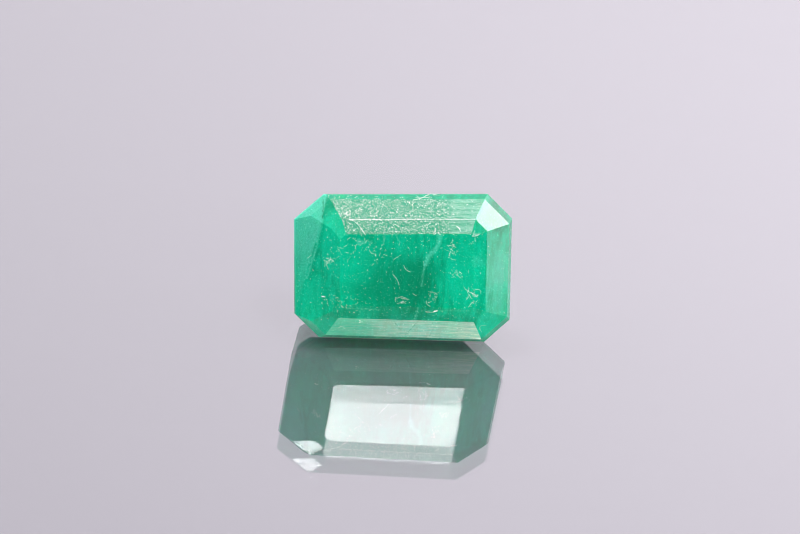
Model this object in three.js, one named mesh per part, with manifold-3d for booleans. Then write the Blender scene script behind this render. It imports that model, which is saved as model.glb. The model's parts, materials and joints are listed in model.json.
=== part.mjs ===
// A loose emerald, step cut to a long octagon, standing on its lower pavilion facet with its table to the front.
//
// Millimetres, +Z up. The stone is one solid, ground from a rough block one flat facet at a time, as a cutter does it.
// While it is ground it lies in the cutter's frame: u runs along the stone, v across it and w straight out of the
// table. The girdle, the widest outline, is at w = 0. Then the stone is turned into the pose that it rests in.
import * as THREE from "three";
import { mergeVertices } from "three/addons/utils/BufferGeometryUtils.js";
import Module from "manifold-3d";

const wasm = await Module();
wasm.setup();

// Driving dimensions
const LENGTH = 13.0;
const WIDTH = 8.7;
const CORNER_CUT = 1.05; // taken off each corner of the LENGTH by WIDTH rectangle, square to the cut
const GIRDLE = 0.2; // height of the narrow unpolished band round the widest outline
const LEAN = 13.2; // degrees that the table leans back from upright when the stone stands

// The crown's steps from the girdle up to the table. A slope is the facet's angle to the girdle plane, in degrees.
const CROWN = [
  { height: 0.56, side: 68, end: 64.5, corner: 56.5 },
  { height: 0.7, side: 31.7, end: 26, corner: 29 },
  { height: 0.3, side: 20, end: 20, corner: 21 },
];
const TABLE_HEIGHT = CROWN.reduce((sum, step) => sum + step.height, 0);

// The pavilion's steps from the girdle down to the keel. The lowest step has no height: its facets meet at the keel.
// The top step's side facet is as steep as the lean asks for, so that it lies flat when the stone stands on it.
const PAVILION = [
  { height: 2.75, side: 90 - LEAN, end: 76, corner: 79 },
  { height: 1.1, side: 40, end: 47, corner: 49 },
  { height: null, side: 24, end: 35, corner: 37 },
];

// The eight sides of the outline, anticlockwise from the right end as the table is looked at. A hand-cut stone is
// never quite even: turn is how far a side is off its true direction, in degrees, and trim is what it lost beyond
// the true outline, in mm. crown and pavilion, where a side has them, are its own slopes for the first steps. The
// left end's crown is one flat slope from the girdle to the table.
const OUTLINE = [
  { kind: "end", turn: 2.0, trim: 0 },
  { kind: "corner", turn: 2.8, trim: 0 },
  { kind: "side", turn: 2.2, trim: 0 },
  { kind: "corner", turn: -2.5, trim: 0.2 },
  { kind: "end", turn: 2.9, trim: 0, crown: [31.7, 31.7, 31.7] },
  { kind: "corner", turn: 3.2, trim: 0.15, pavilion: [82] },
  { kind: "side", turn: 0, trim: 0 },
  { kind: "corner", turn: -1.2, trim: -0.08, pavilion: [71] },
];

// Small shell-shaped chips, each a bite of a ball that stands out from the stone: one in the girdle's upper edge and
// two in the table's right edge. bite is how far the ball reaches in from the edge.
const CHIPS = [
  { edge: [1.75, WIDTH / 2 + 0.06, 0.05], outward: [0, 1, 0.1], radius: 0.45, bite: 0.1 },
  { edge: [3.98, -1.15, TABLE_HEIGHT], outward: [0.5, 0, 1], radius: 0.2, bite: 0.04 },
  { edge: [4.02, -1.75, TABLE_HEIGHT], outward: [0.5, 0, 1], radius: 0.16, bite: 0.035 },
];

const ROUGH = 40; // edge of the rough block and of the block that each facet grinds away
const DEGREE = Math.PI / 180;

// A closed mesh as a solid that can be cut.
function solid(geometry) {
  const closed = geometry.clone();
  closed.deleteAttribute("normal");
  closed.deleteAttribute("uv");
  const merged = mergeVertices(closed, 1e-5);
  return new wasm.Manifold(
    new wasm.Mesh({
      numProp: 3,
      vertProperties: new Float32Array(merged.attributes.position.array),
      triVerts: new Uint32Array(merged.index.array),
    }),
  );
}

// A solid back as a geometry with flat, unshared facets.
function geometryOf(body) {
  const mesh = body.getMesh();
  const shared = new THREE.BufferGeometry();
  shared.setAttribute("position", new THREE.BufferAttribute(new Float32Array(mesh.vertProperties), 3));
  shared.setIndex(new THREE.BufferAttribute(new Uint32Array(mesh.triVerts), 1));
  const flat = shared.toNonIndexed();
  flat.computeVertexNormals();
  return flat;
}

// Half the uncut outline's size towards one of its eight sides.
function reachOf(kind) {
  if (kind === "end") {
    return LENGTH / 2;
  }
  if (kind === "side") {
    return WIDTH / 2;
  }
  return (LENGTH + WIDTH) / 2 / Math.SQRT2 - CORNER_CUT;
}

// Grinds the stone flat. The facet faces the direction azimuth in the girdle plane, tilts by slope towards the table
// (rise 1) or the keel (rise -1), and passes at distance reach from the stone's axis at height w.
function grind(stone, azimuth, slope, rise, reach, w) {
  const across = new THREE.Vector3(Math.cos(azimuth * DEGREE), Math.sin(azimuth * DEGREE), 0);
  const point = across.clone().multiplyScalar(reach).setZ(w);
  const normal = across.multiplyScalar(Math.sin(slope * DEGREE)).setZ(rise * Math.cos(slope * DEGREE));
  const block = new THREE.BoxGeometry(ROUGH, ROUGH, ROUGH);
  block.translate(0, 0, ROUGH / 2);
  block.applyQuaternion(new THREE.Quaternion().setFromUnitVectors(new THREE.Vector3(0, 0, 1), normal));
  block.translate(point.x, point.y, point.z);
  return stone.subtract(solid(block));
}

// Grinds one facet for each step, from the girdle's edge at height w inwards, towards the table or the keel.
function grindSteps(stone, side, azimuth, reach, steps, own, rise, w) {
  let ground = stone;
  let inner = reach;
  let height = w;
  steps.forEach((step, number) => {
    const slope = own?.[number] ?? step[side.kind];
    ground = grind(ground, azimuth, slope, rise, inner, height);
    inner -= step.height / Math.tan(slope * DEGREE);
    height += rise * step.height;
  });
  return ground;
}

// All the facets of one side of the outline: its girdle flat, then the steps of the crown and of the pavilion.
function grindSide(stone, side, index) {
  const azimuth = index * 45 + side.turn;
  const reach = reachOf(side.kind) - side.trim;
  const banded = grind(stone, azimuth, 90, 1, reach, 0);
  const crowned = grindSteps(banded, side, azimuth, reach, CROWN, side.crown, 1, 0);
  return grindSteps(crowned, side, azimuth, reach, PAVILION, side.pavilion, -1, -GIRDLE);
}

// Bites a shell-shaped chip out of an edge.
function chip(stone, { edge, outward, radius, bite }) {
  const way = new THREE.Vector3(...outward).setLength(radius - bite);
  const ball = new THREE.IcosahedronGeometry(radius, 3);
  ball.translate(edge[0] + way.x, edge[1] + way.y, edge[2] + way.z);
  return stone.subtract(solid(ball));
}

// The whole stone in the cutter's frame: the eight sides, the table and the chips.
function cutStone() {
  let stone = solid(new THREE.BoxGeometry(ROUGH / 2, ROUGH / 2, ROUGH / 2));
  OUTLINE.forEach((side, index) => {
    stone = grindSide(stone, side, index);
  });
  stone = grind(stone, 0, 0, 1, 0, TABLE_HEIGHT);
  CHIPS.forEach((bite) => {
    stone = chip(stone, bite);
  });
  return stone;
}

// Turns the cut stone upright, leans it back onto its lower pavilion facet, and puts the middle of its base at the
// origin.
function stand(geometry) {
  geometry.rotateX((90 - LEAN) * DEGREE);
  geometry.computeBoundingBox();
  const { min, max } = geometry.boundingBox;
  geometry.translate(-(min.x + max.x) / 2, -(min.y + max.y) / 2, -min.z);
  return geometry;
}

const emeraldGreen = new THREE.MeshStandardMaterial({
  color: 0x10a878,
  roughness: 0.12,
  metalness: 0,
});

const emerald = new THREE.Mesh(stand(geometryOf(cutStone())), emeraldGreen);
emerald.name = "emerald";

const stone = new THREE.Group();
stone.add(emerald);

export default stone;
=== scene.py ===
"""The looks of a loose step-cut emerald: the milky stone, its dust and lint, a glossy floor and the light."""
import json
import math
import random

import bmesh
import bpy
from mathutils import Matrix, Vector
from mathutils.bvhtree import BVHTree


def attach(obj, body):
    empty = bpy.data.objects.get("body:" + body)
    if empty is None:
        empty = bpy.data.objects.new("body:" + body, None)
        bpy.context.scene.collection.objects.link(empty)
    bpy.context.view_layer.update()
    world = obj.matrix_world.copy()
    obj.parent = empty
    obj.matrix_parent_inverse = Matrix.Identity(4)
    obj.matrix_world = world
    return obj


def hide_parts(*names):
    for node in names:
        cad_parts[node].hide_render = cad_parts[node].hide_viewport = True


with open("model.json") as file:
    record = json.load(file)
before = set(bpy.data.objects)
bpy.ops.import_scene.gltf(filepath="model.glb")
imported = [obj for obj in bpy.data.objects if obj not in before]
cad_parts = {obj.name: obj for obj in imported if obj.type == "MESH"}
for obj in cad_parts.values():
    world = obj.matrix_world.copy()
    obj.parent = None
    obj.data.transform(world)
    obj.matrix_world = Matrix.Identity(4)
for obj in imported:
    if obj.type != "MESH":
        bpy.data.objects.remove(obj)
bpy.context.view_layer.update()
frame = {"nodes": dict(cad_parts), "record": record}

MM = 0.001

# The photograph's frame and the camera that it was taken with, as fitted to the stone's corners
PHOTO_WIDTH = 800
PHOTO_HEIGHT = 534
FOCAL_PIXELS = 2616
SENSOR = 36.0
CAMERA_AZIMUTH = -9.31
CAMERA_ELEVATION = 20.43
CAMERA_ROLL = 5.16
CAMERA_DISTANCE = 155.5 * MM
CAMERA_AIM = Vector((-0.179, -1.471, 4.265)) * MM
# The farthest that the camera sees, in metres
FARTHEST_SEEN = 20
# The size of one pixel of the photograph at the stone, in mm
PIXEL = CAMERA_DISTANCE / MM / FOCAL_PIXELS

# The cutter's frame: u along the stone, v across it and w out of the table, in mm from the table's middle
TABLE = next(mount for mount in frame["record"]["mounts"] if mount["name"] == "table")
TABLE_MIDDLE = Vector(TABLE["pos_m"])
W_AXIS = Vector(TABLE["axis"]).normalized()
U_AXIS = Vector((1, 0, 0))
V_AXIS = W_AXIS.cross(U_AXIS)
LEAN = math.asin(W_AXIS.z)


def make_object(name, mesh, material=None):
    """A new object in the scene for this mesh."""
    piece = bpy.data.objects.new(name, mesh)
    bpy.context.scene.collection.objects.link(piece)
    if material:
        mesh.materials.append(material)
    return piece


# Camera


def camera_axes():
    """The camera's right, up and back directions."""
    turn = math.radians(CAMERA_AZIMUTH)
    rise = math.radians(CAMERA_ELEVATION)
    roll = math.radians(CAMERA_ROLL)
    back = Vector((math.sin(turn) * math.cos(rise), -math.cos(turn) * math.cos(rise), math.sin(rise)))
    level = Vector((math.cos(turn), math.sin(turn), 0))
    upright = back.cross(level)
    right = math.cos(roll) * level + math.sin(roll) * upright
    up = math.cos(roll) * upright - math.sin(roll) * level
    return right, up, back


RIGHT, UP, BACK = camera_axes()
CAMERA_PLACE = CAMERA_AIM + BACK * CAMERA_DISTANCE


def make_camera():
    """The camera at the photograph's place."""
    data = bpy.data.cameras.new("camera")
    data.sensor_width = SENSOR
    data.lens = SENSOR * FOCAL_PIXELS / PHOTO_WIDTH
    data.clip_start = CAMERA_DISTANCE / 10
    data.clip_end = FARTHEST_SEEN
    camera = bpy.data.objects.new("camera", data)
    bpy.context.scene.collection.objects.link(camera)
    turned = Matrix((RIGHT, UP, BACK)).transposed().to_4x4()
    camera.matrix_world = Matrix.Translation(CAMERA_PLACE) @ turned
    bpy.context.scene.camera = camera


def pixel_ray(x, y):
    """The direction from the camera through a pixel of the photograph."""
    across = (x - PHOTO_WIDTH / 2) * RIGHT
    down = (y - PHOTO_HEIGHT / 2) * UP
    return (across - down - FOCAL_PIXELS * BACK).normalized()


# Nodes


class Nodes:
    """A short way to write a node tree."""

    def __init__(self, tree):
        self.tree = tree

    def add(self, kind, settings=None, **inputs):
        """A node of this kind, with its own settings and its inputs' values or links, by name."""
        node = self.tree.nodes.new(kind)
        for name, value in (settings or {}).items():
            setattr(node, name, value)
        for name, value in inputs.items():
            self.put(node, name.replace("_", " "), value)
        return node

    def put(self, node, name, value):
        """Sets or links one input, by its name or its number."""
        socket = node.inputs[int(name) if name.isdigit() else name]
        if isinstance(value, bpy.types.NodeSocket):
            self.tree.links.new(value, socket)
        else:
            socket.default_value = value

    def math(self, operation, *values):
        """A Math node's result."""
        node = self.tree.nodes.new("ShaderNodeMath")
        node.operation = operation
        for number, value in enumerate(values):
            self.put(node, str(number), value)
        return node.outputs[0]

    def ramp(self, value, start, end, low=0.0, high=1.0):
        """A smooth step from low at start to high at end."""
        node = self.tree.nodes.new("ShaderNodeMapRange")
        node.interpolation_type = "SMOOTHSTEP"
        self.put(node, "Value", value)
        self.put(node, "From Min", start)
        self.put(node, "From Max", end)
        self.put(node, "To Min", low)
        self.put(node, "To Max", high)
        return node.outputs["Result"]

    def blend(self, factor, first, second):
        """Two colours mixed by a factor."""
        node = self.tree.nodes.new("ShaderNodeMix")
        node.data_type = "RGBA"
        self.put(node, "0", factor)
        self.put(node, "6", first)
        self.put(node, "7", second)
        return node.outputs[2]

    def noise(self, vector, scale, detail=2.0, roughness=0.5, distortion=0.0):
        """A noise texture's value."""
        node = self.add(
            "ShaderNodeTexNoise",
            Vector=vector,
            Scale=scale,
            Detail=detail,
            Roughness=roughness,
            Distortion=distortion,
        )
        return node.outputs["Fac"]


def new_material(name):
    """An empty material, its nodes and its output."""
    material = bpy.data.materials.new(name)
    material.use_nodes = True
    material.node_tree.nodes.clear()
    nodes = Nodes(material.node_tree)
    output = nodes.add("ShaderNodeOutputMaterial")
    return material, nodes, output


def cutter_coordinates(nodes):
    """Vector, u, v and w of the shaded point, in mm from the middle of the table."""
    place = nodes.add("ShaderNodeTexCoord").outputs["Object"]
    moved = nodes.add("ShaderNodeVectorMath", {"operation": "SUBTRACT"}, **{"0": place, "1": TABLE_MIDDLE})
    turned = nodes.add(
        "ShaderNodeMapping",
        Vector=moved.outputs[0],
        Rotation=(LEAN - math.pi / 2, 0, 0),
        Scale=(1 / MM,) * 3,
    )
    parts = nodes.add("ShaderNodeSeparateXYZ", Vector=turned.outputs[0])
    return turned.outputs[0], parts.outputs[0], parts.outputs[1], parts.outputs[2]


# The stone's mesh

SAME_POINT = 0.0005 * MM
SAME_FACET = math.radians(0.4)
# Edges at least this long and this sharp are worn, and the wear reaches this far onto each facet
LONG_EDGE = 0.3 * MM
SHARP_EDGE = math.radians(3)
EDGE_BEVEL = 0.022 * MM
# Facets coloured on their own, by their slope: the lower long step, with a painted reflection; the two upper
# long steps, with painted shade, dust and a painted sheen; and the narrow steep band round the girdle, with
# painted shade
LOWER_STEP_FACES = "lower_step_faces"
UPPER_STEPS = "upper_steps"
BAND = "band"
LOWER_STEP_SLOPES = (math.radians(27), math.radians(36))
UPPER_SLOPES = (math.radians(15), math.radians(36))
BAND_SLOPES = (math.radians(50), math.radians(95))
# A facet is on a long side when it faces across the stone by at least this share
LONG_SIDE = 0.9


def stone_mesh():
    """The CAD stone with its triangles joined to whole, flat facets, and its long edges slightly worn."""
    made = bmesh.new()
    made.from_mesh(frame["nodes"]["emerald"].data)
    bmesh.ops.remove_doubles(made, verts=made.verts, dist=SAME_POINT)
    bmesh.ops.dissolve_limit(made, angle_limit=SAME_FACET, verts=made.verts, edges=made.edges)
    long_edges = [
        edge for edge in made.edges
        if edge.calc_length() > LONG_EDGE and edge.calc_face_angle(0) > SHARP_EDGE
    ]
    bmesh.ops.bevel(
        made,
        geom=long_edges,
        offset=EDGE_BEVEL,
        segments=2,
        profile=0.6,
        affect="EDGES",
        clamp_overlap=True,
    )
    # Face masks: the lower long step, for its painted reflection, the upper long steps, and the narrow band
    pale, upper, band = (made.faces.layers.float.new(name) for name in (LOWER_STEP_FACES, UPPER_STEPS, BAND))
    for face in made.faces:
        face.smooth = False
        slope = face.normal.angle(W_AXIS)
        upward = face.normal.dot(V_AXIS)
        long_side = LONG_SIDE * math.sin(slope)
        face[pale] = float(upward < -long_side and LOWER_STEP_SLOPES[0] < slope < LOWER_STEP_SLOPES[1])
        face[upper] = float(upward > long_side and UPPER_SLOPES[0] < slope < UPPER_SLOPES[1])
        face[band] = float(BAND_SLOPES[0] < slope < BAND_SLOPES[1])
    mesh = bpy.data.meshes.new("emerald_stone")
    made.to_mesh(mesh)
    made.free()
    return mesh


STONE_MESH = stone_mesh()
SURFACE = BVHTree.FromPolygons(
    [vertex.co for vertex in STONE_MESH.vertices],
    [polygon.vertices for polygon in STONE_MESH.polygons],
)


def on_stone(x, y):
    """The place on the stone, and its normal, that a pixel of the photograph shows."""
    place, normal, _, _ = SURFACE.ray_cast(CAMERA_PLACE, pixel_ray(x, y))
    return place, normal


def crown_place(x, y):
    """u and v, in mm, of the place on the stone that a pixel of the photograph shows."""
    place = on_stone(x, y)[0] - TABLE_MIDDLE
    return place.dot(U_AXIS) / MM, place.dot(V_AXIS) / MM


# The stone's colour. Colours are linear. Places of its zones and veils are pixels of the photograph.

DEEP_GREEN = (0.0005, 0.37, 0.19, 1)
BODY_GREEN = (0.001, 0.605, 0.345, 1)
BRIGHT_GREEN = (0.002, 0.775, 0.468, 1)
DARK_GREEN = (0.0005, 0.24, 0.112, 1)
PALE_GREEN = (0.14, 0.83, 0.62, 1)
STEP_GREEN = (0.51, 0.86, 0.71, 1)
# The pale colour of the painted reflection on the lower long step
LOWER_STEP_SHEEN = (0.62, 0.88, 0.66, 1)
FROST = (0.86, 0.93, 0.90, 1)

# How strongly one colour lies over another, from 0 to 1
BODY_SHARE = 0.45
DARK_MOTTLE = 0.6
BRIGHT_MOTTLE = 0.5
DARK_CLOUD = 0.5
PALE_SPECK = 0.42
DARK_GRIT = 0.4
PALE_BEYOND_CRACK = 0.8
# Painted shade on the upper long steps
UPPER_STEPS_SHADE = 0.8
FINE_DUST = 0.55
# Painted shade on the girdle and on the narrow band
GIRDLE_SHADE = 0.6
BAND_SHADE = 0.26

# Degrees that the streaks lean from upright, and that the scratches on the long steps lean from level
STREAK_LEAN = 10
SCRATCH_LEAN = -3
# How far, in mm, the noise pushes the edges of the zones and of the veils out of true
ZONE_WANDER = 2.2
VEIL_WANDER = 0.3
# Stretches of u, in mm, over which the colour changes: the fine dust on the upper steps gives way to rubbed
# crystal with a painted sheen, the lower step's brighter green fades out, its painted reflection, broken by
# its scratches, grows stronger, and once more, and the painted shade on the narrow band grows
DUST_END = (2.1, 2.7)
BRIGHT_END = (-3.6, -0.6)
STEP_SHEEN_GROWS = (-4.6, 4.2)
STEP_SHEEN_PEAK = (2.2, 4.3)
BAND_SHADE_START = (-5.4, -4.2)
# Soft oval zones: middle and reach in pixels, colour and strength
ZONES = [
    ((402, 291), (58, 45), DARK_GREEN, 0.66),
    ((434, 272), (16, 20), DARK_GREEN, 0.3),
    ((419, 286), (14, 38), DARK_GREEN, 0.45),
    ((364, 284), (26, 22), DEEP_GREEN, 0.5),
    ((372, 262), (16, 14), DEEP_GREEN, 0.4),
    ((327, 209), (10, 16), DEEP_GREEN, 0.7),
    ((462, 272), (32, 46), BRIGHT_GREEN, 0.6),
    ((350, 262), (34, 34), BRIGHT_GREEN, 0.45),
    # Painted highlight: lightens the top of the left facet, to even its shading with the corner facet above
    ((330, 240), (20, 34), BRIGHT_GREEN, 0.6),
    ((302, 288), (18, 32), BRIGHT_GREEN, 0.6),
    ((499, 280), (14, 46), PALE_GREEN, 0.42),
    ((486, 328), (18, 14), BRIGHT_GREEN, 0.8),
    ((316, 325), (24, 18), BRIGHT_GREEN, 0.7),
    ((493, 215), (20, 18), DARK_GREEN, 0.85),
    ((363, 241), (7, 6), PALE_GREEN, 0.45),
    ((480, 260), (9, 8), PALE_GREEN, 0.25),
]
# Veils and cracks: the pixels that they run through, half width in mm, colour and strength
VEILS = [
    ([(440, 236), (439, 243), (435, 250), (428, 257), (425.5, 264)], 0.24, PALE_GREEN, 0.62),
    ([(425.5, 264), (423, 272), (421.5, 286)], 0.12, PALE_GREEN, 0.4),
    ([(444, 264), (428, 281), (419, 298), (412, 312)], 0.32, DARK_GREEN, 0.3),
    ([(423, 276), (416, 298), (409, 316)], 0.05, DARK_GREEN, 0.8),
    ([(417.5, 308), (415, 320)], 0.1, PALE_GREEN, 0.35),
    ([(385, 234), (383.5, 244)], 0.09, PALE_GREEN, 0.4),
    ([(396, 233), (398, 240), (401, 243)], 0.06, PALE_GREEN, 0.5),
    ([(322.5, 219), (315, 252), (306.7, 278)], 0.1, PALE_GREEN, 0.55),
    ([(323.4, 200), (322.8, 218)], 0.05, DARK_GREEN, 0.95),
    ([(325, 222), (317.6, 254), (310, 279)], 0.16, DARK_GREEN, 0.22),
    ([(346, 308.6), (362, 308.8), (380, 309.8)], 0.08, PALE_GREEN, 0.2),
    ([(425, 310.6), (470, 311)], 0.08, PALE_GREEN, 0.12),
    ([(398.3, 199), (398.6, 219)], 0.03, STEP_GREEN, 0.5),
    ([(444, 198.5), (444.4, 219)], 0.03, STEP_GREEN, 0.7),
    ([(395, 322), (400.5, 330)], 0.03, DARK_GREEN, 0.6),
    ([(418, 321), (412, 328), (404.5, 336)], 0.035, DARK_GREEN, 0.75),
    ([(432.5, 322), (434, 328), (430, 336)], 0.03, DARK_GREEN, 0.6),
]
# The crack on the left: beyond the line through these pixels the stone is paler, most of all at the top, and
# its edge is this soft, in mm
CRACK = ((323, 219), (299, 303))
CRACK_EDGE = 0.12


def zone(nodes, u, v, middle, reach):
    """A soft oval patch: 1 in its middle and 0 past its reach. Both are in pixels of the photograph."""
    u_middle, v_middle = crown_place(*middle)
    across = nodes.math("DIVIDE", nodes.math("SUBTRACT", u, u_middle), reach[0] * PIXEL)
    along = nodes.math("DIVIDE", nodes.math("SUBTRACT", v, v_middle), reach[1] * PIXEL)
    squared = nodes.math("ADD", nodes.math("POWER", across, 2.0), nodes.math("POWER", along, 2.0))
    return nodes.ramp(squared, 0.0, 1.0, 1.0, 0.0)


def veil(nodes, u, v, pixels, half_width):
    """A thin line through these pixels of the photograph: 1 along its middle and 0 at its half width."""
    places = [crown_place(*pixel) for pixel in pixels]
    mask = 0.0
    for (u_start, v_start), (u_end, v_end) in zip(places, places[1:]):
        length = math.hypot(u_end - u_start, v_end - v_start)
        u_way, v_way = (u_end - u_start) / length, (v_end - v_start) / length
        u_off = nodes.math("SUBTRACT", u, u_start)
        v_off = nodes.math("SUBTRACT", v, v_start)
        u_share = nodes.math("MULTIPLY", u_off, u_way)
        along = nodes.math("ADD", u_share, nodes.math("MULTIPLY", v_off, v_way))
        inside = nodes.math("MINIMUM", nodes.math("MAXIMUM", along, 0.0), length)
        u_miss = nodes.math("SUBTRACT", u_off, nodes.math("MULTIPLY", inside, u_way))
        v_miss = nodes.math("SUBTRACT", v_off, nodes.math("MULTIPLY", inside, v_way))
        squares = nodes.math("ADD", nodes.math("POWER", u_miss, 2.0), nodes.math("POWER", v_miss, 2.0))
        piece = nodes.ramp(nodes.math("SQRT", squares), 0.0, half_width, 1.0, 0.0)
        mask = nodes.math("MAXIMUM", mask, piece)
    return mask


def beyond_crack(nodes, u, v):
    """1 to the left of the crack, fading towards its lower end, and 0 to the right of it."""
    (u_top, v_top), (u_end, v_end) = (crown_place(*pixel) for pixel in CRACK)
    slant = (u_end - u_top) / (v_end - v_top)
    line = nodes.math("MULTIPLY_ADD", nodes.math("SUBTRACT", v, v_top), slant, u_top)
    left = nodes.ramp(nodes.math("SUBTRACT", line, u), 0.0, CRACK_EDGE)
    return nodes.math("MULTIPLY", left, nodes.ramp(v, v_end, v_top, 0.15, 1.0))


def attribute(nodes, name):
    """A face attribute's value."""
    return nodes.add("ShaderNodeAttribute", {"attribute_name": name}).outputs["Fac"]


def stretched(nodes, place, lean, scale):
    """Coordinates for a texture that runs in streaks, which lean by this many degrees."""
    turn = (0, 0, math.radians(lean))
    return nodes.add("ShaderNodeMapping", Vector=place, Rotation=turn, Scale=scale).outputs[0]


def wander(nodes, coordinate, noise, distance):
    """A coordinate pushed to and fro by a noise."""
    return nodes.math("MULTIPLY_ADD", nodes.math("SUBTRACT", noise, 0.5), distance, coordinate)


def body_colour(nodes, place, streaks, clouds):
    """Deep and bright green in streaks, mottles and clouds."""
    blotched = stretched(nodes, place, STREAK_LEAN, (1.5, 0.9, 1.0))
    mottle = nodes.noise(blotched, 2.6, detail=4.0, roughness=0.68)
    colour = nodes.blend(nodes.ramp(streaks, 0.34, 0.66), DEEP_GREEN, BRIGHT_GREEN)
    colour = nodes.blend(BODY_SHARE, colour, BODY_GREEN)
    colour = nodes.blend(nodes.ramp(mottle, 0.52, 0.7, 0.0, DARK_MOTTLE), colour, DEEP_GREEN)
    colour = nodes.blend(nodes.ramp(mottle, 0.3, 0.48, BRIGHT_MOTTLE, 0.0), colour, BRIGHT_GREEN)
    return nodes.blend(nodes.ramp(clouds, 0.5, 0.72, 0.0, DARK_CLOUD), colour, DEEP_GREEN)


def zoned(nodes, u, v, colour):
    """The colour with its darker and brighter zones."""
    for middle, reach, tint, strength in ZONES:
        patch = nodes.math("MULTIPLY", zone(nodes, u, v, middle, reach), strength)
        colour = nodes.blend(patch, colour, tint)
    return colour


def veined(nodes, u, v, specks, colour):
    """The colour with its veils and cracks, which are broken by specks."""
    for pixels, half_width, tint, strength in VEILS:
        line = nodes.math("MULTIPLY", veil(nodes, u, v, pixels, half_width), strength)
        broken = nodes.math("MULTIPLY", line, nodes.ramp(specks, 0.35, 0.6, 0.4, 1.0))
        colour = nodes.blend(broken, colour, tint)
    return colour


def lower_step(nodes, u, scratches, colour):
    """The colour with the lower long step's painted reflection, pale and broken by its scratches, stronger
    towards the right.
    """
    lower = attribute(nodes, LOWER_STEP_FACES)
    brighter = nodes.math("MULTIPLY", lower, nodes.ramp(u, *BRIGHT_END, 0.6, 0.1))
    colour = nodes.blend(brighter, colour, BRIGHT_GREEN)
    # Painted reflection: a pale sheen over the lower step, growing towards the right, with a painted sheen at
    # its right end
    growth = nodes.ramp(u, *STEP_SHEEN_GROWS, 0.2, 0.46)
    rightwards = nodes.math("ADD", growth, nodes.ramp(u, *STEP_SHEEN_PEAK, 0.0, 0.26))
    scratched = nodes.math("MULTIPLY", rightwards, nodes.ramp(scratches, 0.32, 0.68, 0.5, 1.35))
    return nodes.blend(nodes.math("MULTIPLY", lower, scratched), colour, LOWER_STEP_SHEEN)


def upper_steps(nodes, place, u, scratches, colour):
    """The colour with the upper long steps' painted shade, fine dust at the left, and at the right rubbed
    crystal whose pale streaks are a painted sheen.
    """
    upper = attribute(nodes, UPPER_STEPS)
    # Painted shade: the upper steps are darkened towards deep green, against the light that falls on them
    # from above
    colour = nodes.blend(nodes.math("MULTIPLY", upper, UPPER_STEPS_SHADE), colour, DEEP_GREEN)
    # Painted sheen: pale streaks on the rubbed crystal, stronger towards the right
    worn = nodes.ramp(u, *DUST_END, 0.06, 0.46)
    rubbed = nodes.math("MULTIPLY", worn, nodes.ramp(scratches, 0.35, 0.65, 0.3, 1.3))
    colour = nodes.blend(nodes.math("MULTIPLY", upper, rubbed), colour, STEP_GREEN)
    grains = nodes.noise(place, 15.0, detail=1.0, roughness=0.5)
    thick = nodes.ramp(u, *DUST_END, 1.0, 0.3)
    dusty = nodes.math("MULTIPLY", thick, nodes.ramp(grains, 0.51, 0.64, 0.0, FINE_DUST))
    return nodes.blend(nodes.math("MULTIPLY", upper, dusty), colour, FROST)


def stone_colour(nodes, place, u, v):
    """The green of the stone, with its zones, its specks, the finish of its long steps, and its veils."""
    streaked = stretched(nodes, place, STREAK_LEAN, (3.2, 0.5, 1.0))
    streaks = nodes.noise(streaked, 1.1, detail=6.0, roughness=0.66, distortion=0.3)
    clouds = nodes.noise(place, 0.9, detail=4.0, roughness=0.6)
    specks = nodes.noise(place, 9.0, detail=2.0, roughness=0.6)
    grit = nodes.noise(place, 17.0, detail=1.0)
    scratched = stretched(nodes, place, SCRATCH_LEAN, (0.35, 6.0, 1.0))
    scratches = nodes.noise(scratched, 2.2, detail=3.0, roughness=0.7)
    colour = body_colour(nodes, place, streaks, clouds)
    ragged_u = wander(nodes, u, streaks, ZONE_WANDER)
    ragged_v = wander(nodes, v, clouds, ZONE_WANDER)
    colour = zoned(nodes, ragged_u, ragged_v, colour)
    beyond = nodes.math("MULTIPLY", beyond_crack(nodes, u, v), PALE_BEYOND_CRACK)
    colour = nodes.blend(beyond, colour, PALE_GREEN)
    colour = nodes.blend(nodes.ramp(specks, 0.57, 0.74, 0.0, PALE_SPECK), colour, PALE_GREEN)
    colour = nodes.blend(nodes.ramp(grit, 0.36, 0.62, DARK_GRIT, 0.0), colour, DEEP_GREEN)
    colour = lower_step(nodes, u, scratches, colour)
    colour = upper_steps(nodes, place, u, scratches, colour)
    return veined(nodes, wander(nodes, u, specks, VEIL_WANDER), v, specks, colour)


# Roughness: polished, worn in patches, pitted in specks, and ground on the unpolished girdle
POLISHED = 0.045
WORN = 0.16
PITTED = 0.3
GROUND = 0.5
# Heights over the table, in mm, of the lower and upper edge of the unpolished girdle
GIRDLE_LOW = -1.79
GIRDLE_HIGH = -1.53
WEAR_DEPTH = 0.0004 * MM


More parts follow.
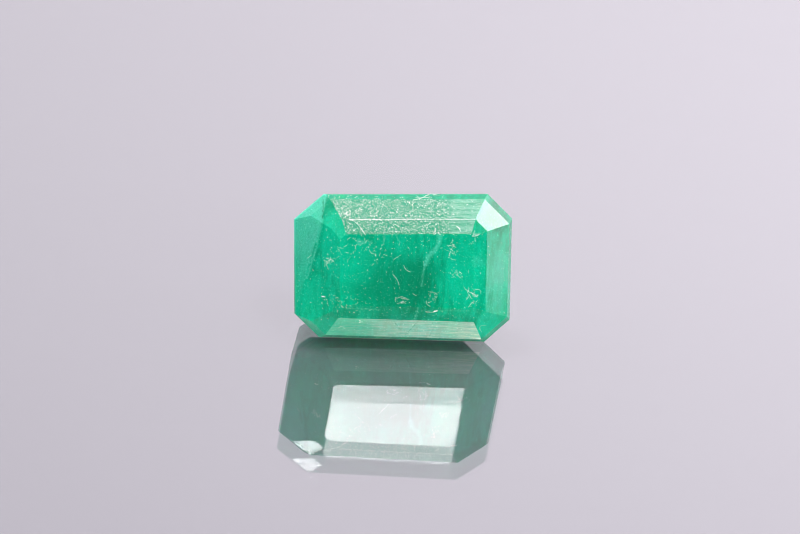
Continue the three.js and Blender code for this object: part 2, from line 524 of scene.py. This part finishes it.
def emerald_material():
    """Milky green crystal: part of the light goes through, and part scatters just under the surface."""
    material, nodes, output = new_material("emerald_milky")
    place, u, v, w = cutter_coordinates(nodes)
    wear = nodes.noise(place, 6.0, detail=4.0, roughness=0.7)
    polish = nodes.ramp(wear, 0.54, 0.72, POLISHED, WORN)
    pits = nodes.noise(place, 13.0, detail=2.0, roughness=0.6)
    polish = nodes.math("ADD", polish, nodes.ramp(pits, 0.6, 0.7, 0.0, PITTED))
    above = nodes.math("GREATER_THAN", w, GIRDLE_LOW)
    below = nodes.math("LESS_THAN", w, GIRDLE_HIGH)
    girdle = nodes.math("MULTIPLY", above, below)
    finish = nodes.add("ShaderNodeMix", **{"0": girdle, "2": polish, "3": GROUND}).outputs[0]
    waves = nodes.noise(place, 3.0, detail=3.0, roughness=0.55)
    bump = nodes.add("ShaderNodeBump", Height=waves, Distance=WEAR_DEPTH, Strength=1.0)
    # Painted shade: the girdle and the narrow band are darkened, but not beyond the crack
    band = nodes.math("MULTIPLY", attribute(nodes, BAND), nodes.ramp(u, *BAND_SHADE_START, 0.0, BAND_SHADE))
    edge_shade = nodes.math("MAXIMUM", nodes.math("MULTIPLY", girdle, GIRDLE_SHADE), band)
    edge_shade = nodes.math("MULTIPLY", edge_shade, nodes.math("SUBTRACT", 1.0, beyond_crack(nodes, u, v)))
    colour = nodes.blend(edge_shade, stone_colour(nodes, place, u, v), DARK_GREEN)
    shader = nodes.add(
        "ShaderNodeBsdfPrincipled",
        {"subsurface_method": "RANDOM_WALK"},
        Base_Color=colour,
        Roughness=finish,
        IOR=1.58,
        Transmission_Weight=0.3,
        Subsurface_Weight=1.0,
        Subsurface_Radius=(0.25, 1.0, 0.7),
        Subsurface_Scale=0.5 * MM,
        Normal=bump.outputs[0],
    )
    absorption = nodes.add("ShaderNodeVolumeAbsorption", Color=(0.0, 0.9925, 0.981, 1), Density=8000)
    nodes.put(output, "Surface", shader.outputs[0])
    nodes.put(output, "Volume", absorption.outputs[0])
    return material


def make_stone():
    """The visible stone, in place of the CAD node."""
    stone = make_object("emerald_stone", STONE_MESH, emerald_material())
    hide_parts("emerald")
    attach(stone, "root")


# Dust and lint


def dust_material():
    """Pale dry dust."""
    material, nodes, output = new_material("dust_pale")
    place = nodes.add("ShaderNodeTexCoord").outputs["Object"]
    tone = nodes.noise(place, 4 / MM)
    colour = nodes.blend(tone, (0.78, 0.86, 0.84, 1), (0.95, 0.95, 0.96, 1))
    shader = nodes.add("ShaderNodeBsdfPrincipled", Base_Color=colour, Roughness=0.8)
    nodes.put(output, "Surface", shader.outputs[0])
    return material


def grain(points, faces, place, normal, size, chance):
    """Adds one squashed, uneven grain that lies on the stone: a ring of four points, a top and a base."""
    side = normal.orthogonal().normalized()
    side = Matrix.Rotation(chance.uniform(0, math.tau), 3, normal) @ side
    other = normal.cross(side)
    start = len(points)
    for way in (side, other, -side, -other):
        points.append(place + way * size * chance.uniform(0.3, 0.7) + normal * size * 0.15)
    points.append(place + normal * size * chance.uniform(0.4, 0.7))
    points.append(place - normal * size * 0.1)
    for number in range(4):
        after = start + (number + 1) % 4
        faces.append((start + number, after, start + 4))
        faces.append((after, start + number, start + 5))


# v, in mm, of the table's upper edge. Beyond it, dust lies only on the facets that run along the stone.
TABLE_EDGE = 2.2
ALONG_STONE = 0.1
# Regions of the crown that dust lies on: u and v ranges in mm, number of grains, smallest and largest in mm
DUSTY = [
    ((-4.8, 2.4), (TABLE_EDGE, 4.2), 620, 0.034, 0.078),
    ((-4.8, 2.4), (TABLE_EDGE, 4.2), 300, 0.016, 0.036),
    ((2.4, 4.4), (TABLE_EDGE, 4.2), 110, 0.018, 0.05),
    ((-4.0, 4.0), (1.0, 2.3), 90, 0.016, 0.045),
    ((-4.0, 4.0), (-2.3, 1.0), 60, 0.016, 0.035),
    ((-6.3, 6.4), (-4.1, TABLE_EDGE), 190, 0.018, 0.05),
]
# Clusters of coarser dust: middle and reach in pixels of the photograph, number of grains, largest in mm
CLUSTERS = [
    ((346, 213), (8, 5), 45, 0.08),
    ((328, 261), (5, 4), 16, 0.07),
    ((340, 256), (15, 14), 46, 0.045),
    ((374, 250), (16, 10), 22, 0.06),
    ((452, 250), (9, 9), 34, 0.055),
    ((456, 273), (8, 6), 22, 0.05),
    ((474, 297), (8, 12), 34, 0.055),
    ((431, 298), (7, 9), 24, 0.055),
    ((402, 300), (9, 5), 20, 0.05),
    ((330, 302), (12, 12), 22, 0.045),
    ((350, 304), (24, 8), 34, 0.045),
    ((454, 214), (1, 1), 3, 0.16),
    ((361, 322), (3, 2), 8, 0.06),
    ((476, 235), (8, 3), 20, 0.07),
]
CLUSTER_SMALLEST = 0.02
# The rubbed edge between the two upper steps: the pixels at its ends, its number of grains, how far they
# stray in pixels, and the smallest and largest grain in mm
RUBBED_EDGE = ((349, 219.6), (476.5, 219.2), 520, 0.25, 0.03, 0.05)
# Dust falls on the stone from this far over the table, in mm
DUST_START = 5


def grain_size(chance, small, large):
    """A grain's size in metres, between these two in mm. Small ones are the more common."""
    return small * (large / small) ** (chance.random() ** 1.7) * MM


def make_dust():
    """Dust, thickest on the upper steps of the crown."""
    chance = random.Random(4)
    points, faces = [], []
    for (u_low, u_high), (v_low, v_high), number, small, large in DUSTY:
        for _ in range(number):
            u = chance.uniform(u_low, u_high)
            v = chance.uniform(v_low, v_high)
            start = TABLE_MIDDLE + (U_AXIS * u + V_AXIS * v + W_AXIS * DUST_START) * MM
            place, normal, _, _ = SURFACE.ray_cast(start, -W_AXIS)
            dusty = v < TABLE_EDGE or (normal and abs(normal.dot(U_AXIS)) < ALONG_STONE)
            if place and dusty:
                grain(points, faces, place, normal, grain_size(chance, small, large), chance)
    for (x_middle, y_middle), (x_reach, y_reach), number, large in CLUSTERS:
        for _ in range(number):
            x = chance.gauss(x_middle, x_reach / 2)
            y = chance.gauss(y_middle, y_reach / 2)
            place, normal = on_stone(x, y)
            if place:
                grain(points, faces, place, normal, grain_size(chance, CLUSTER_SMALLEST, large), chance)
    (x_start, y_start), (x_end, y_end), number, stray, small, large = RUBBED_EDGE
    for _ in range(number):
        share = chance.random()
        x = x_start + (x_end - x_start) * share
        y = y_start + (y_end - y_start) * share + chance.gauss(0, stray)
        place, normal = on_stone(x, y)
        if place:
            grain(points, faces, place, normal, grain_size(chance, small, large), chance)
    mesh = bpy.data.meshes.new("dust")
    mesh.from_pydata(points, [], faces)
    dust = make_object("dust", mesh, dust_material())
    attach(dust, "root")


# Lint fibres: thickness in mm, and the pixels of the photograph that they pass
FIBRES = [
    (0.022, [(413, 200), (421, 198.6), (428.6, 194.8), (433, 194.2)]),
    (0.018, [(413, 200.3), (412.6, 206)]),
    (0.02, [(420, 197.5), (428, 197.6), (435, 194.4)]),
    (0.02, [(426, 195.6), (437, 194.6)]),
    (0.015, [(430, 199.4), (437, 201.4)]),
    (0.025, [(354.5, 221.3), (360, 227), (365.7, 235.1)]),
    (0.012, [(323.5, 260), (328, 261.4), (331, 259.4), (334.4, 262.4)]),
    (0.01, [(328, 257), (330, 261), (327, 264)]),
    (0.008, [(326, 258), (333, 260.4)]),
    (0.01, [(307.2, 258.4), (311.8, 254.9)]),
    (0.008, [(339, 249.7), (347.7, 244.6)]),
    (0.01, [(369.2, 249.7), (371, 252.6), (374.3, 254)]),
    (0.008, [(371.5, 265.6), (374, 263.4)]),
    (0.011, [(393.6, 259.6), (396.6, 257.6)]),
    (0.007, [(396.6, 257.6), (401, 255)]),
    (0.012, [(403.6, 265.2), (406, 269.6), (410.5, 272)]),
    (0.012, [(392.4, 273.9), (396.7, 279), (399.3, 285)]),
    (0.011, [(394.2, 300.5), (398.5, 297.6), (402.8, 296.8), (405.3, 298.8), (409.3, 299.2)]),
    (0.008, [(396.7, 303.6), (402.8, 302.4), (406.2, 303.6)]),
    (0.008, [(412.2, 292.8), (414.6, 294.8), (416.4, 295.6)]),
    (0.014, [(425.2, 311.7), (432.9, 312.2)]),
    (0.062, [(432.9, 311.8), (437.6, 310.4)]),
    (0.011, [(426, 300.5), (426.9, 304), (430.3, 306.6)]),
    (0.011, [(431.2, 291.9), (434.6, 292.8), (437.2, 294.5)]),
    (0.012, [(464.8, 288.5), (469, 291.9), (473.4, 293.6)]),
    (0.01, [(473.4, 290.2), (478.5, 289.3), (481.1, 291.9)]),
    (0.01, [(466.5, 298.8), (469, 296.2), (468, 293.4)]),
    (0.01, [(468.2, 307.4), (470.8, 304), (474.2, 301.4)]),
    (0.012, [(446.7, 245.1), (451.8, 245.8), (456.1, 247.2)]),
    (0.01, [(449.2, 248), (452.7, 250.6)]),
    (0.008, [(451, 259.2), (456.1, 260)]),
    (0.043, [(456.1, 226.2), (458.7, 228), (460.4, 231.7)]),
    (0.022, [(471.6, 236), (476, 236), (480.3, 233.7)]),
    (0.008, [(451.8, 274.7), (455.3, 273.9), (461.3, 278.2)]),
    (0.01, [(385.5, 337.2), (392.4, 339.2)]),
    (0.008, [(338.2, 328), (341.6, 326), (345.9, 329.4)]),
    (0.055, [(321.8, 296.2), (325.6, 296.8)]),
    (0.008, [(482, 332), (479.6, 328.4), (481.6, 325.4), (486, 325.2)]),
    (0.008, [(312.4, 268.6), (313.4, 271)]),
]
# Tufts of short hairs: middle and reach in pixels of the photograph, number of hairs, longest hair in pixels
TUFTS = [
    ((328, 261), (6, 4), 6, 6),
    ((346, 213), (8, 5), 5, 5),
    ((373, 250), (12, 7), 6, 4),
    ((452, 251), (10, 9), 7, 4),
    ((457, 273), (9, 6), 6, 4),
    ((471, 294), (9, 10), 7, 5),
    ((433, 294), (5, 4), 4, 3),
    ((402, 301), (9, 4), 3, 4),
    ((345, 303), (22, 9), 10, 4),
    ((476, 236), (8, 4), 4, 6),
    ((430, 198), (14, 3), 4, 8),
    ((360, 245), (30, 16), 14, 4),
]
HAIR = 0.009
HAIR_JOINTS = 3
HAIR_CURL = 0.6
# Highest lift of a fibre off the stone, in mm
LIFT = 0.02
FIBRE_SIDES = 5
FIBRE_STEPS = 5


def smooth_path(points, steps):
    """Points along a smooth curve through these."""
    padded = [2 * points[0] - points[1], *points, 2 * points[-1] - points[-2]]
    path = []
    for first, second, third, fourth in zip(padded, padded[1:], padded[2:], padded[3:]):
        for number in range(steps):
            t = number / steps
            slope = third - first
            bend = 2 * first - 5 * second + 4 * third - fourth
            twist = 3 * second - first - 3 * third + fourth
            path.append(0.5 * (2 * second + slope * t + bend * t ** 2 + twist * t ** 3))
    path.append(points[-1])
    return path


def add_fibre(points, faces, path, normal, radius, chance):
    """Adds one closed tube along the path, of uneven thickness and thinner at its ends."""
    start = len(points)
    last = len(path) - 1
    for number, place in enumerate(path):
        ahead = (path[min(number + 1, last)] - path[max(number - 1, 0)]).normalized()
        side = ahead.cross(normal).normalized()
        over = side.cross(ahead)
        thick = radius * (0.4 if number in (0, last) else chance.uniform(0.6, 1.3))
        place = place + (side * chance.gauss(0, 0.35) + over * chance.uniform(0, 0.3)) * radius
        for turn in range(FIBRE_SIDES):
            angle = math.tau * turn / FIBRE_SIDES
            points.append(place + (side * math.cos(angle) + over * math.sin(angle)) * thick)
    for number in range(last):
        ring = start + number * FIBRE_SIDES
        for turn in range(FIBRE_SIDES):
            after = (turn + 1) % FIBRE_SIDES
            faces.append((ring + turn, ring + after, ring + FIBRE_SIDES + after, ring + FIBRE_SIDES + turn))
    faces.append(tuple(start + turn for turn in reversed(range(FIBRE_SIDES))))
    faces.append(tuple(start + last * FIBRE_SIDES + turn for turn in range(FIBRE_SIDES)))


def tuft_hairs(chance):
    """The short hairs of the tufts, as thickness and pixels."""
    hairs = []
    for (x_middle, y_middle), (x_reach, y_reach), number, longest in TUFTS:
        for _ in range(number):
            x = chance.gauss(x_middle, x_reach / 2)
            y = chance.gauss(y_middle, y_reach / 2)
            heading = chance.uniform(0, math.tau)
            step = chance.uniform(0.3, 1.0) * longest / HAIR_JOINTS
            pixels = [(x, y)]
            for _ in range(HAIR_JOINTS):
                heading += chance.gauss(0, HAIR_CURL)
                x += step * math.cos(heading)
                y += step * math.sin(heading)
                pixels.append((x, y))
            hairs.append((HAIR * chance.uniform(0.7, 1.5), pixels))
    return hairs


def make_lint():
    """Lint fibres that lie on the stone where the photograph shows them, and tufts of short hairs."""
    chance = random.Random(9)
    points, faces = [], []
    for thickness, pixels in FIBRES + tuft_hairs(chance):
        hits = [on_stone(x, y) for x, y in pixels]
        hits = [(place, normal) for place, normal in hits if place]
        if len(hits) < 2:
            continue
        radius = thickness / 2 * MM
        lifted = [place + normal * (radius * 0.9 + chance.uniform(0, LIFT) * MM) for place, normal in hits]
        add_fibre(points, faces, smooth_path(lifted, FIBRE_STEPS), hits[0][1], radius, chance)
    mesh = bpy.data.meshes.new("lint")
    mesh.from_pydata(points, [], faces)
    mesh.polygons.foreach_set("use_smooth", [True] * len(mesh.polygons))
    lint = make_object("lint", mesh, dust_material())
    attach(lint, "root")


# Floor and light

FLOOR_SIZE = 3.0
FLOOR_GAP = 0.02 * MM
# The depth at which the lower surface mirrors the stone where the photograph shows its second image
GLASS_DEPTH = 0.584 * MM
MIRROR_TINT = (0.97, 0.955, 0.98, 1)
MIRROR_ROUGHNESS = 0.02
PALE_FLOOR = (0.64, 0.625, 0.65, 1)
DARK_FLOOR = (0.088, 0.086, 0.1, 1)
# Share of light that each surface mirrors: the upper one when looked down on and when looked along, and the
# lower one when looked along
UPPER_STEEP = 0.05
UPPER_SHALLOW = 0.26
LOWER_SHALLOW = 0.145
# Each surface changes over this stretch of angles, where 0 is looked down on and 1 is looked along
UPPER_CHANGE = (0.3, 0.85)
LOWER_CHANGE = (0.15, 0.5)


def floor_plane(name, depth, material):
    """A flat square plate, this far below the stone."""
    half = FLOOR_SIZE / 2
    corners = [(-half, -half, -depth), (half, -half, -depth), (half, half, -depth), (-half, half, -depth)]
    mesh = bpy.data.meshes.new(name)
    mesh.from_pydata(corners, [], [(0, 1, 2, 3)])
    make_object(name, mesh, material)


def gloss_material():
    """The floor's upper surface: a clear gloss."""
    material, nodes, output = new_material("floor_gloss")
    mirror = nodes.add("ShaderNodeBsdfGlossy", Color=MIRROR_TINT, Roughness=MIRROR_ROUGHNESS)
    clear = nodes.add("ShaderNodeBsdfTransparent")
    facing = nodes.add("ShaderNodeLayerWeight", Blend=0.5).outputs["Facing"]
    share = nodes.ramp(facing, *UPPER_CHANGE, UPPER_STEEP, UPPER_SHALLOW)
    mixed = nodes.add("ShaderNodeMixShader", **{"0": share, "1": clear.outputs[0], "2": mirror.outputs[0]})
    nodes.put(output, "Surface", mixed.outputs[0])
    return material


def ground_material():
    """The floor's lower surface: pale, and dark under the gloss where it is looked along."""
    material, nodes, output = new_material("floor_pale")
    facing = nodes.add("ShaderNodeLayerWeight", Blend=0.5).outputs["Facing"]
    pale = nodes.add("ShaderNodeBsdfDiffuse", Color=PALE_FLOOR)
    dark = nodes.add("ShaderNodeBsdfDiffuse", Color=DARK_FLOOR)
    mirror = nodes.add("ShaderNodeBsdfGlossy", Color=MIRROR_TINT, Roughness=MIRROR_ROUGHNESS)
    parts = {"0": LOWER_SHALLOW, "1": dark.outputs[0], "2": mirror.outputs[0]}
    glossy = nodes.add("ShaderNodeMixShader", **parts)
    share = nodes.ramp(facing, *LOWER_CHANGE)
    mixed = nodes.add("ShaderNodeMixShader", **{"0": share, "1": pale.outputs[0], "2": glossy.outputs[0]})
    nodes.put(output, "Surface", mixed.outputs[0])
    return material


def make_floor():
    """A plain glossy floor that mirrors the stone twice, as thick glass does."""
    floor_plane("floor_top", FLOOR_GAP, gloss_material())
    floor_plane("floor_base", FLOOR_GAP + GLASS_DEPTH, ground_material())


# Brightness of the sky by direction: the front at three heights, and then the rest
FRONT_LOW = 0.04
FRONT_MIDDLE = 0.45
FRONT_HIGH = 0.7
OVERHEAD = 0.82
LEFT_SIDE = 2.0
RIGHT_SIDE = 2.6
BACK_LEFT = 1.5
BACK_RIGHT = 2.25
SKY_TINT = (1.0, 0.955, 1.02, 1)
# Where one part of the sky fades into the next, in degrees: the azimuths of the front's two sides, and the
# elevations at which the front and the rest change
FRONT_LEFT_EDGE = (-78, -62)
FRONT_RIGHT_EDGE = (53, 60)
FRONT_LOW_EDGE = (9, 14)
FRONT_HIGH_EDGE = (43, 49)
OVERHEAD_EDGE = (29, 38)
# Where left gives way to right, at the sides and at the back, by how far a direction points to the right, and
# where the sides give way to the back, by how far it points to the back
SIDES_MIDDLE = (-0.5, 0.5)
BACK_MIDDLE = (-0.25, 0.5)
BACK_EDGE = (0.0, 0.8)


def height_of(degrees):
    """The height, on a sphere of radius 1, of each of these elevations."""
    return [math.sin(math.radians(angle)) for angle in degrees]


def make_world():
    """Soft pale light from all round, with a dark stretch low at the front, which the table mirrors."""
    world = bpy.data.worlds.new("studio")
    world.use_nodes = True
    world.node_tree.nodes.clear()
    bpy.context.scene.world = world
    nodes = Nodes(world.node_tree)
    output = nodes.add("ShaderNodeOutputWorld")
    way = nodes.add("ShaderNodeTexCoord").outputs["Generated"]
    parts = nodes.add("ShaderNodeSeparateXYZ", Vector=way)
    east, north, height = parts.outputs
    azimuth = nodes.math("ARCTAN2", east, nodes.math("MULTIPLY", north, -1.0))
    right_edge = nodes.ramp(azimuth, *map(math.radians, FRONT_RIGHT_EDGE), 1.0, 0.0)
    left_edge = nodes.ramp(azimuth, *map(math.radians, FRONT_LEFT_EDGE), 0.0, 1.0)
    front = nodes.math("MULTIPLY", right_edge, left_edge)
    lowest = nodes.ramp(height, *height_of(FRONT_LOW_EDGE), FRONT_LOW, FRONT_MIDDLE)
    front_level = nodes.ramp(height, *height_of(FRONT_HIGH_EDGE))
    front_light = nodes.add("ShaderNodeMix", **{"0": front_level, "2": lowest, "3": FRONT_HIGH}).outputs[0]
    sides = nodes.ramp(east, *SIDES_MIDDLE, LEFT_SIDE, RIGHT_SIDE)
    back_light = nodes.ramp(east, *BACK_MIDDLE, BACK_LEFT, BACK_RIGHT)
    behind = nodes.ramp(north, *BACK_EDGE)
    around = nodes.add("ShaderNodeMix", **{"0": behind, "2": sides, "3": back_light}).outputs[0]
    high = nodes.ramp(height, *height_of(OVERHEAD_EDGE))
    dome = nodes.add("ShaderNodeMix", **{"0": high, "2": around, "3": OVERHEAD}).outputs[0]
    strength = nodes.add("ShaderNodeMix", **{"0": front, "2": dome, "3": front_light}).outputs[0]
    background = nodes.add("ShaderNodeBackground", Color=SKY_TINT, Strength=strength)
    nodes.put(output, "Surface", background.outputs[0])


# Softboxes: name, elevation and azimuth in degrees, width and height in mm, brightness, and distance in mm.
# Azimuth 0 is in front of the table, and grows to the right. The upper right corner mirrors the right box,
# and the higher long step the upper one. In the floor's image the table mirrors the front box, and the upper
# left corner the top one. The step and fill boxes light the stone, and show in no facet.
SOFTBOXES = [
    ("front_box", 50.4, 13.6, 38, 27.2, 51, 300),
    ("step_box", 58.4, 22, 40, 24, 46, 300),
    ("right_box", 36.0, 64.4, 30, 28, 14.2, 300),
    ("fill_box", 22, 16, 150, 55, 13.5, 300),
    ("upper_box", 57, 24.6, 68, 210, 1.4, 400),
    ("top_box", 75.2, -118, 62, 62, 40, 300),
]


def softbox(name, elevation, azimuth, width, height, brightness, distance):
    """A rectangular light that faces the stone."""
    rise = math.radians(elevation)
    turn = math.radians(azimuth)
    way = Vector((math.sin(turn) * math.cos(rise), -math.cos(turn) * math.cos(rise), math.sin(rise)))
    data = bpy.data.lights.new(name, "AREA")
    data.shape = "RECTANGLE"
    data.size = width * MM
    data.size_y = height * MM
    data.energy = brightness * math.pi * data.size * data.size_y
    light = bpy.data.objects.new(name, data)
    bpy.context.scene.collection.objects.link(light)
    light.location = CAMERA_AIM + way * distance * MM
    light.rotation_mode = "QUATERNION"
    light.rotation_quaternion = way.to_track_quat("Z", "Y")
    light.visible_camera = False


def make_lights():
    """All the softboxes."""
    for values in SOFTBOXES:
        softbox(*values)


make_camera()
make_floor()
make_world()
make_lights()
make_stone()
make_dust()
make_lint()

scene = bpy.context.scene
scene.view_settings.view_transform = "Standard"
scene.cycles.max_bounces = 16
scene.cycles.transmission_bounces = 12
scene.cycles.transparent_max_bounces = 12
scene.cycles.sample_clamp_indirect = 0
scene.cycles.blur_glossy = 0.0
scene.cycles.filter_width = 1.1
scene.cycles.caustics_reflective = True
scene.cycles.caustics_refractive = True
